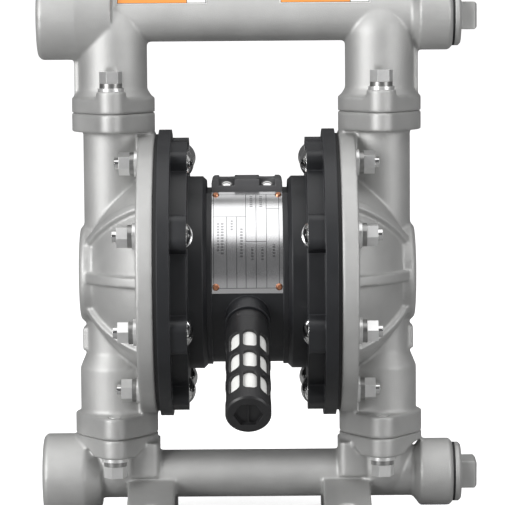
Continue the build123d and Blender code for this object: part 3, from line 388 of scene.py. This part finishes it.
whitePlasticSettings = {
    "dark": (0.78, 0.78, 0.76, 1.0),
    "light": (0.88, 0.88, 0.86, 1.0),
    "metallic": 0.0,
    "roughness": (0.5, 0.65),
    "grainScale": 2400.0,
    "mottleScale": 90.0,
    "undulation": 0.2,
    "bump": 0.35,
    "bumpDepth": 0.0003,
    "edgeRadius": 0.0003,
    "wearAndHighlight": 0.1,
    "wornAndHighlightColour": (0.95, 0.95, 0.94, 1.0),
    "dust": 0.05,
    "dustColour": (0.6, 0.6, 0.56, 1.0),
}
whitePlastic = makeFinish("whitePlastic", whitePlasticSettings)

# diaphragm: white face sheet, with the black rubber backing showing as its rim
diaphragmSettings = {
    "rimFrom": 0.086,            # metres from the rod's axis
    "rimColour": (0.014, 0.014, 0.015, 1.0),
}
backedPtfe = makeFinish("backedPtfe", whitePlasticSettings)


def darkenRim(material, settings):
    tree = material.node_tree
    parts = objectParts(tree)
    lift = mathNode(tree, "SUBTRACT", parts["Z"], rodHeight)
    squares = []
    for distance in (lift, parts["Y"]):
        squares.append(mathNode(tree, "POWER", mathNode(tree, "ABSOLUTE", distance), 2.0))
    radius = mathNode(tree, "SQRT", mathNode(tree, "ADD", squares[0], squares[1]))
    rim = mathNode(tree, "GREATER_THAN", radius, settings["rimFrom"])
    paintOver(material, rim, settings["rimColour"])


darkenRim(backedPtfe, diaphragmSettings)

blackPlasticSettings = {
    "dark": (0.012, 0.012, 0.013, 1.0),
    "light": (0.022, 0.022, 0.023, 1.0),
    "metallic": 0.0,
    "roughness": (0.34, 0.46),
    "grainScale": 3200.0,
    "mottleScale": 140.0,
    "undulation": 0.2,
    "bump": 0.15,
    "bumpDepth": 0.0001,
    "edgeRadius": 0.0006,
    "wearAndHighlight": 0.2,
    "wornAndHighlightColour": (0.07, 0.07, 0.07, 1.0),
    "dust": 0.05,
    "dustColour": (0.1, 0.1, 0.1, 1.0),
}
blackPlastic = makeFinish("blackPlastic", blackPlasticSettings)

blackRubberSettings = dict(
    blackPlasticSettings,
    roughness=(0.62, 0.75),
    grainScale=1800.0,
    bump=0.3,
)
blackRubber = makeFinish("blackRubber", blackRubberSettings)

bronzeSettings = dict(
    turnedSteelSettings,
    dark=(0.42, 0.28, 0.12, 1.0),
    light=(0.58, 0.41, 0.2, 1.0),
    wornAndHighlightColour=(0.75, 0.58, 0.35, 1.0),
    roughness=(0.35, 0.5),
)
sinteredBronze = makeFinish("sinteredBronze", bronzeSettings)

copperSettings = dict(
    turnedSteelSettings,
    dark=(0.5, 0.2, 0.11, 1.0),
    light=(0.72, 0.34, 0.2, 1.0),
    wornAndHighlightColour=(0.9, 0.6, 0.45, 1.0),
    mottleScale=700.0,
    roughness=(0.25, 0.4),
)
copperRivet = makeFinish("copperRivet", copperSettings)

# thin printed line of a table: 1 on the line, 0 off it
def buildRuleGroup():
    group, start, end = newGroup(
        "ruledLine",
        [
            ("Across", "NodeSocketFloat", 0.0),
            ("Along", "NodeSocketFloat", 0.0),
            ("Place", "NodeSocketFloat", 0.0),
            ("Half Width", "NodeSocketFloat", 0.0001),
            ("From", "NodeSocketFloat", 0.0),
            ("To", "NodeSocketFloat", 1.0),
        ],
        [("Mask", "NodeSocketFloat")],
    )
    offset = mathNode(group, "SUBTRACT", start.outputs["Across"], start.outputs["Place"])
    distance = mathNode(group, "ABSOLUTE", offset)
    near = mathNode(group, "LESS_THAN", distance, start.outputs["Half Width"])
    after = mathNode(group, "GREATER_THAN", start.outputs["Along"], start.outputs["From"])
    before = mathNode(group, "LESS_THAN", start.outputs["Along"], start.outputs["To"])
    mask = mathNode(group, "MULTIPLY", mathNode(group, "MULTIPLY", near, after), before)
    group.links.new(mask, end.inputs["Mask"])
    return group


ruleGroup = buildRuleGroup()

# nameplate: bare satin sheet, ruled as an empty table with rows of plain dashes
plateSettings = {
    "ruleColour": (0.10, 0.10, 0.11, 1.0),
    "ruleHalf": 0.00016,         # metres, half the width of a column line
    "angleHalf": 0.0028,         # radians, half the width of a row line
    # columns: x in mm, from and to in degrees round the body
    "columns": (
        (-21.6, 27.6, 94.2), (-13.1, 47.9, 94.2), (-6.8, 47.9, 94.2), (-0.9, 27.6, 94.2),
        (5.7, 27.6, 94.2), (12.3, 27.6, 94.2), (20.4, 27.6, 94.2),
    ),
    # rows: degrees, from and to in mm
    "rows": (
        (27.6, -21.6, 20.4), (94.2, -21.6, 20.4), (47.9, -21.6, -0.9), (41.5, 12.3, 20.4),
        (65.3, -0.9, 12.3),
    ),
    # dashes: x in mm, half width in mm, from and to in degrees
    "dashes": (
        (-18.6, 0.7, 52.0, 72.0), (-16.0, 0.9, 52.0, 74.0), (-9.9, 0.7, 50.5, 58.0),
        (-3.7, 0.8, 56.0, 76.0), (2.6, 0.9, 29.5, 40.0), (8.8, 0.9, 29.5, 40.0),
        (3.2, 0.8, 69.0, 77.0), (9.6, 0.8, 69.0, 77.0), (17.0, 0.8, 67.0, 76.0),
    ),
    "dashPitch": 0.034,          # radians from one dash to the next
    "dashFill": 0.62,            # share of the pitch that is inked
    "dashInk": 0.55,             # how dark a dash is beside a line
}
plateSheetSettings = dict(
    turnedSteelSettings,
    dark=(0.70, 0.70, 0.71, 1.0),
    light=(0.80, 0.80, 0.81, 1.0),
    roughness=(0.2, 0.27),
    mottleScale=70.0,
    wornAndHighlightColour=(0.9, 0.9, 0.9, 1.0),
)


def placeRule(tree, across, along, place, half, limits):
    rule = addNode(tree, "ShaderNodeGroup", node_tree=ruleGroup)
    tree.links.new(across, rule.inputs["Across"])
    tree.links.new(along, rule.inputs["Along"])
    setInputs(rule, Place=place, Half_Width=half, From=limits[0], To=limits[1])
    return rule.outputs["Mask"]


def ruleTable(material, settings):
    tree = material.node_tree
    parts = objectParts(tree)
    lift = mathNode(tree, "SUBTRACT", parts["Z"], rodHeight)
    forward = mathNode(tree, "MULTIPLY", parts["Y"], -1.0)
    angle = mathNode(tree, "ARCTAN2", forward, lift)
    width = parts["X"]
    masks = []
    for place, first, last in settings["columns"]:
        limits = (math.radians(first), math.radians(last))
        masks.append(placeRule(tree, width, angle, place * mm, settings["ruleHalf"], limits))
    for place, first, last in settings["rows"]:
        limits = (first * mm, last * mm)
        turn = math.radians(place)
        masks.append(placeRule(tree, angle, width, turn, settings["angleHalf"], limits))
    beat = mathNode(tree, "DIVIDE", angle, settings["dashPitch"])
    ink = mathNode(tree, "LESS_THAN", mathNode(tree, "FRACT", beat), settings["dashFill"])
    for place, half, first, last in settings["dashes"]:
        limits = (math.radians(first), math.radians(last))
        band = placeRule(tree, width, angle, place * mm, half * mm, limits)
        dash = mathNode(tree, "MULTIPLY", band, ink)
        masks.append(mathNode(tree, "MULTIPLY", dash, settings["dashInk"]))
    total = masks[0]
    for mask in masks[1:]:
        total = mathNode(tree, "MAXIMUM", total, mask)
    paintOver(material, total, settings["ruleColour"])


plateSheet = makeFinish("plateSheet", plateSheetSettings)
ruleTable(plateSheet, plateSettings)

finishOfSlot = {
    "cast_stainless": castSteel,
    "black_casting": blackCasting,
    "bright_fasteners": brightFastener,
    "machined_steel": turnedSteel,
    "aluminium_parts": softAluminium,
    "white_ptfe": whitePlastic,
    "black_plastic": blackPlastic,
    "black_rubber": blackRubber,
    "bronze": sinteredBronze,
    "copper_rivet": copperRivet,
    "nameplate_sheet": plateSheet,
}
for subpart in frame["record"]["subparts"]:
    node = nodes[subpart["node"]]
    node.data.materials.clear()
    node.data.materials.append(finishOfSlot[subpart["material_slot"]])
nodes["top_cover"].data.materials[0] = coverCasting
nodes["chamber_bolts"].data.materials[0] = polishedBolt
nodes["top_cover_screws"].data.materials[0] = polishedBolt
# the spring washers take the darker finish: painted shade between nut and flat washer
for place in ("chamber", "manifold"):
    nodes[place + "_spring_washers"].data.materials[0] = shadedWasherSteel
for side in ("left", "right"):
    nodes[side + "_diaphragm"].data.materials[0] = backedPtfe
print("finishes on the cast, turned and moulded pieces")

# cast pieces: the same castings with the rounded edges and root fillets of the mould
castingSettings = {
    "voxel": 0.0010,             # metres
    "quickVoxel": 0.0018,
    "rounds": 5,                 # of smoothing
    "factor": 0.5,
}


def softenCasting(nodeName, body, settings):
    source = nodes[nodeName]
    piece = bpy.data.objects.new(nodeName + "_cast", source.data.copy())
    bpy.context.scene.collection.objects.link(piece)
    remesh = piece.modifiers.new("remesh", "REMESH")
    remesh.mode = "VOXEL"
    remesh.voxel_size = settings["voxel"]
    remesh.use_smooth_shade = True
    smooth = piece.modifiers.new("smooth", "SMOOTH")
    smooth.factor = settings["factor"]
    smooth.iterations = settings["rounds"]
    graph = bpy.context.evaluated_depsgraph_get()
    baked = bpy.data.meshes.new_from_object(piece.evaluated_get(graph))
    piece.modifiers.clear()
    piece.data = baked
    baked.materials.clear()
    baked.materials.append(castSteel)
    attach(piece, body)
    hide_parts(nodeName)
    return piece


for nodeName in ("top_manifold", "bottom_manifold", "left_fluid_cap", "right_fluid_cap"):
    casting = softenCasting(nodeName, "frame", castingSettings)
    print(nodeName, "cast surface", len(casting.data.polygons))


# silencer cage: a moulded tube with three rows of windows and a key recess in its end
cageSettings = {
    "base": (0.0, -55.0, 143.0),     # mm, where its boss leaves the body
    "tilt": 30.0,                    # degrees below the horizontal
    "boss": 7.0,
    "length": 92.0,
    # radius and place along the cage in mm, from the inner end of the stub round to the well
    "profile": (
        (7.4, -14.0), (9.4, -14.0), (9.4, 0.0), (12.4, 0.0), (12.9, 0.6), (12.9, 8.2),
        (14.2, 10.0), (14.2, 90.8), (13.6, 91.4), (13.0, 92.0), (0.0, 92.0),
        (0.0, 83.0), (12.2, 83.0), (12.2, 9.0), (7.4, 9.0),
    ),
    "segments": 72,
    "firstRow": 32.0,
    "rowPitch": 21.0,
    "rows": 3,
    "columns": 8,
    "turn": -5.0,                    # degrees, of the first column of windows
    "windowLength": 16.5,
    "windowWidth": 8.6,
    "corner": 3.0,
    "cornerStep": 18,                # degrees between the points of a round corner
    "cutFrom": 10.5,                 # radii that the cut of a window spans
    "cutTo": 16.0,
    "keyRadius": 9.24,
    "keyDepth": 3.0,
    "keySides": 6,
    "overcut": 2.0,
    "bladeWidth": 0.9,
    "bladeHeight": 6.5,
    "bladeSink": 0.4,
    "bladeRise": 1.6,
    "bladeTaper": 0.5,
    "sharpAngle": 28.0,              # degrees, edges above it stay sharp
}


def makeCage(settings):
    c = settings
    tilt = math.radians(c["tilt"])
    outward = Vector((0.0, -math.cos(tilt), -math.sin(tilt)))
    sideways = Vector((1.0, 0.0, 0.0))
    upward = outward.cross(sideways)
    base = Vector(c["base"]) + outward * c["boss"]

    def place(x, y, along):
        return (base + sideways * x + upward * y + outward * along) * mm

    def fromWork(work, name):
        bmesh.ops.recalc_face_normals(work, faces=work.faces)
        mesh = bpy.data.meshes.new(name)
        work.to_mesh(mesh)
        work.free()
        piece = bpy.data.objects.new(name, mesh)
        bpy.context.scene.collection.objects.link(piece)
        return piece

    work = bmesh.new()
    rings = []
    for radius, along in c["profile"]:
        ring = []
        for k in range(c["segments"] if radius > 0 else 1):
            turn = 2 * math.pi * k / c["segments"]
            x, y = radius * math.cos(turn), radius * math.sin(turn)
            ring.append(work.verts.new(place(x, y, along)))
        rings.append(ring)
    for first, second in zip(rings, rings[1:] + rings[:1]):
        for k in range(c["segments"]):
            n = (k + 1) % c["segments"]
            if len(first) == 1 and len(second) == 1:
                continue
            if len(first) == 1:
                work.faces.new((first[0], second[k], second[n]))
            elif len(second) == 1:
                work.faces.new((first[k], second[0], first[n]))
            else:
                work.faces.new((first[k], second[k], second[n], first[n]))
    cage = fromWork(work, "silencer_cage_moulded")

    cutters = bmesh.new()

    def addPrism(corners):
        low = [cutters.verts.new(place(*p)) for p, q in corners]
        high = [cutters.verts.new(place(*q)) for p, q in corners]
        cutters.faces.new(low)
        cutters.faces.new(high[::-1])
        for k in range(len(low)):
            n = (k + 1) % len(low)
            cutters.faces.new((low[k], low[n], high[n], high[k]))

    halfLong = c["windowLength"] / 2 - c["corner"]
    halfWide = c["windowWidth"] / 2 - c["corner"]
    quarters = ((1, 1), (-1, 1), (-1, -1), (1, -1))
    stepsOfCorner = range(90 // c["cornerStep"] + 1)
    for row in range(c["rows"]):
        middle = c["firstRow"] + row * c["rowPitch"]
        for column in range(c["columns"]):
            spin = math.radians(c["turn"] + 360.0 * column / c["columns"])
            outX, outY = math.sin(spin), -math.cos(spin)
            corners = []
            for quarter, (signLong, signWide) in enumerate(quarters):
                for step in stepsOfCorner:
                    bend = math.radians(90 * quarter + c["cornerStep"] * step)
                    along = middle + signLong * halfLong + c["corner"] * math.cos(bend)
                    wide = signWide * halfWide + c["corner"] * math.sin(bend)
                    corners.append([
                        (reach * outX - wide * outY, reach * outY + wide * outX, along)
                        for reach in (c["cutFrom"], c["cutTo"])
                    ])
            addPrism(corners)
    key = []
    deep = c["length"] - c["keyDepth"]
    for k in range(c["keySides"]):
        turn = math.radians(360 / c["keySides"] * k)
        x, y = c["keyRadius"] * math.cos(turn), c["keyRadius"] * math.sin(turn)
        key.append(((x, y, deep), (x, y, c["length"] + c["overcut"])))
    addPrism(key)
    cutter = fromWork(cutters, "windowCutter")
    cut = cage.modifiers.new("windows", "BOOLEAN")
    cut.operation = "DIFFERENCE"
    cut.solver = "EXACT"
    cut.object = cutter
    graph = bpy.context.evaluated_depsgraph_get()
    baked = bpy.data.meshes.new_from_object(cage.evaluated_get(graph))
    cage.modifiers.clear()
    bpy.data.objects.remove(cutter)

    # blade across the key recess
    work = bmesh.new()
    work.from_mesh(baked)
    half = c["bladeWidth"] / 2
    tall = c["bladeHeight"]
    outline = ((-half, -tall), (half, -tall), (half, tall), (0.0, tall + half), (-half, tall))
    foot, top, taper = deep - c["bladeSink"], deep + c["bladeRise"], c["bladeTaper"]
    low = [work.verts.new(place(x, y, foot)) for x, y in outline]
    high = [work.verts.new(place(x * taper, y, top)) for x, y in outline]
    sides = [work.faces.new(low[::-1]), work.faces.new(high)]
    for k in range(len(low)):
        n = (k + 1) % len(low)
        sides.append(work.faces.new((low[k], low[n], high[n], high[k])))
    bmesh.ops.recalc_face_normals(work, faces=sides)
    work.to_mesh(baked)
    work.free()
    cage.data = baked
    baked.materials.clear()
    baked.materials.append(blackPlastic)
    baked.set_sharp_from_angle(angle=math.radians(c["sharpAngle"]))
    for face in baked.polygons:
        face.use_smooth = True
    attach(cage, "frame")
    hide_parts("silencer_cage")


makeCage(cageSettings)
print("silencer cage moulded")


# blank labels on the front of the upper pipe, wrapped round it
labelSettings = {
    "axisHeight": 0.3342,        # metres, as are the radius and the thickness
    "radius": 0.01585,
    "thickness": 0.00012,
    "from": 33.6,                # degrees above the horizontal
    "to": 128.0,
    "steps": 24,                 # round the pipe
    "margin": 0.6,               # mm
    "border": 0.45,
    "split": 0.775,              # share of the width that is coloured
    "places": {"left_label": (-84.0, -25.0), "right_label": (22.1, 80.9)},
}
paperSettings = {
    "dark": (0.80, 0.80, 0.79, 1.0),
    "light": (0.88, 0.88, 0.87, 1.0),
    "metallic": 0.0,
    "roughness": (0.3, 0.42),
    "grainScale": 2600.0,
    "mottleScale": 120.0,
    "undulation": 0.4,
    "bump": 0.12,
    "bumpDepth": 0.0001,
    "edgeRadius": 0.0002,
    "wearAndHighlight": 0.3,
    "wornAndHighlightColour": (0.7, 0.7, 0.69, 1.0),
    "dust": 0.05,
    "dustColour": (0.6, 0.6, 0.58, 1.0),
}
inkSettings = dict(
    paperSettings,
    dark=(0.02, 0.02, 0.022, 1.0),
    light=(0.035, 0.035, 0.037, 1.0),
)
orangeSettings = dict(
    paperSettings,
    dark=(0.80, 0.26, 0.03, 1.0),
    light=(0.88, 0.31, 0.045, 1.0),
)
labelFinishes = [
    makeFinish("labelPaper", paperSettings),
    makeFinish("labelInk", inkSettings),
    makeFinish("labelOrange", orangeSettings),
]
paper, ink, orange = range(len(labelFinishes))


def wrapLabel(name, start, stop, settings):
    edges = (0.0, settings["margin"], settings["margin"] + settings["border"])
    width = stop - start
    splitPlace = start + width * settings["split"]
    columns = [start + e for e in edges] + [splitPlace, splitPlace + settings["border"]]
    columns += [stop - e for e in reversed(edges)]
    degreesPerMm = 1.0 / math.radians(settings["radius"] * 1000.0)
    rows = [settings["from"] + e * degreesPerMm for e in edges]
    last = settings["to"] - edges[-1] * degreesPerMm
    steps = settings["steps"]
    first = rows[-1]
    rows += [first + (last - first) * k / steps for k in range(1, steps + 1)]
    rows += [settings["to"] - edges[1] * degreesPerMm, settings["to"]]
    work = bmesh.new()
    lines = []
    for angle in rows:
        turn = math.radians(angle)
        y = -settings["radius"] * math.cos(turn)
        z = settings["axisHeight"] + settings["radius"] * math.sin(turn)
        lines.append([work.verts.new((x * mm, y, z)) for x in columns])
    for r in range(len(rows) - 1):
        for c in range(len(columns) - 1):
            corners = (lines[r][c], lines[r][c + 1], lines[r + 1][c + 1], lines[r + 1][c])
            face = work.faces.new(corners)
            face.smooth = True
            outside = c in (0, len(columns) - 2) or r in (0, len(rows) - 2)
            ruled = c in (1, 3, len(columns) - 3) or r in (1, len(rows) - 3)
            if outside:
                face.material_index = paper
            elif ruled:
                face.material_index = ink
            else:
                face.material_index = orange if c == 2 else paper
    mesh = bpy.data.meshes.new(name)
    work.to_mesh(mesh)
    work.free()
    for finish in labelFinishes:
        mesh.materials.append(finish)
    label = bpy.data.objects.new(name, mesh)
    bpy.context.scene.collection.objects.link(label)
    solid = label.modifiers.new("thickness", "SOLIDIFY")
    solid.thickness = settings["thickness"]
    solid.offset = -1.0
    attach(label, "frame")


for name, (start, stop) in labelSettings["places"].items():
    wrapLabel(name, start, stop, labelSettings)
print("blank labels on the upper pipe")


# floor, world and lights
studioSettings = {
    "floorRadius": 120.0,        # metres
    "floorSegments": 96,
    "floorRoughness": 0.7,
    "floorGrain": 14.0,
    "floorMottle": 0.97,
    "floorColour": (0.9, 0.9, 0.9, 1.0),
    "floorShade": (0.30, 0.30, 0.30, 1.0),
    "floorGlow": 0.72,
    "skyTop": (1.0, 1.0, 1.0, 1.0),
    "skyMiddle": (0.14, 0.14, 0.142, 1.0),
    "background": (1.15, 1.15, 1.15, 1.0),
    "strength": 0.9,
    "riseFrom": 0.64,            # where the sky starts to brighten, 1.0 being straight up
    "riseTo": 0.82,
}


def buildFloor():
    mesh = bpy.data.meshes.new("studioFloor")
    work = bmesh.new()
    bmesh.ops.create_circle(
        work,
        cap_ends=True,
        segments=studioSettings["floorSegments"],
        radius=studioSettings["floorRadius"],
    )
    work.to_mesh(mesh)
    work.free()
    floor = bpy.data.objects.new("studioFloor", mesh)
    bpy.context.scene.collection.objects.link(floor)
    material = bpy.data.materials.new("paleFloor")
    material.use_nodes = True
    tree = material.node_tree
    shader = tree.nodes["Principled BSDF"]
    shader.inputs["Roughness"].default_value = studioSettings["floorRoughness"]
    coordinates = addNode(tree, "ShaderNodeTexCoord").outputs["Object"]
    soft = addNode(tree, "ShaderNodeTexNoise")
    setInputs(soft, Scale=studioSettings["floorGrain"], Detail=3.0)
    tree.links.new(coordinates, soft.inputs["Vector"])
    pale = studioSettings["floorColour"]
    duller = tuple(studioSettings["floorMottle"] * c for c in pale[:3]) + (1.0,)
    colour = mixColour(tree, soft.outputs["Fac"], pale, duller)
    path = addNode(tree, "ShaderNodeLightPath")
    shaded = mixColour(tree, path.outputs["Is Camera Ray"], studioSettings["floorShade"], colour)
    tree.links.new(shaded, shader.inputs["Base Color"])
    shader.inputs["Emission Color"].default_value = (1.0, 1.0, 1.0, 1.0)
    glow = mathNode(tree, "MULTIPLY", path.outputs["Is Camera Ray"], studioSettings["floorGlow"])
    tree.links.new(glow, shader.inputs["Emission Strength"])
    mesh.materials.append(material)


def buildWorld():
    world = bpy.data.worlds.new("studio")
    world.use_nodes = True
    bpy.context.scene.world = world
    tree = world.node_tree
    backdrop = tree.nodes["Background"]
    backdrop.inputs["Strength"].default_value = studioSettings["strength"]
    direction = addNode(tree, "ShaderNodeTexCoord").outputs["Generated"]
    parts = addNode(tree, "ShaderNodeSeparateXYZ")
    tree.links.new(direction, parts.inputs[0])
    rise = addNode(tree, "ShaderNodeMapRange", interpolation_type="SMOOTHSTEP")
    setInputs(rise, From_Min=studioSettings["riseFrom"], From_Max=studioSettings["riseTo"])
    tree.links.new(parts.outputs["Z"], rise.inputs["Value"])
    middle, top = studioSettings["skyMiddle"], studioSettings["skyTop"]
    sky = mixColour(tree, rise.outputs["Result"], middle, top)
    path = addNode(tree, "ShaderNodeLightPath")
    seen = mixColour(tree, path.outputs["Is Camera Ray"], sky, studioSettings["background"])
    tree.links.new(seen, backdrop.inputs["Color"])


def addSoftbox(name, place, target, size, power):
    light = bpy.data.lights.new(name, "AREA")
    light.shape = "RECTANGLE"
    light.size, light.size_y = size
    light.energy = power
    lamp = bpy.data.objects.new(name, light)
    lamp.location = place
    lamp.rotation_euler = (Vector(target) - Vector(place)).to_track_quat("-Z", "Y").to_euler()
    bpy.context.scene.collection.objects.link(lamp)


buildFloor()
buildWorld()
# place, point it faces, width and height in metres, and power in watts
softboxes = {
    "frontLeft": ((-1.5, -1.5, 0.75), (0.0, 0.0, 0.17), (0.9, 1.4), 39.0),
    "frontRight": ((1.5, -1.4, 0.65), (0.0, 0.0, 0.17), (0.8, 1.3), 14.0),
    "overhead": ((0.0, -0.5, 1.7), (0.0, 0.0, 0.2), (2.6, 1.6), 9.0),
}
for name, (place, target, size, power) in softboxes.items():
    addSoftbox(name, place, target, size, power)
view = bpy.context.scene.view_settings
view.view_transform = "Standard"
print("floor, world and lights in place")
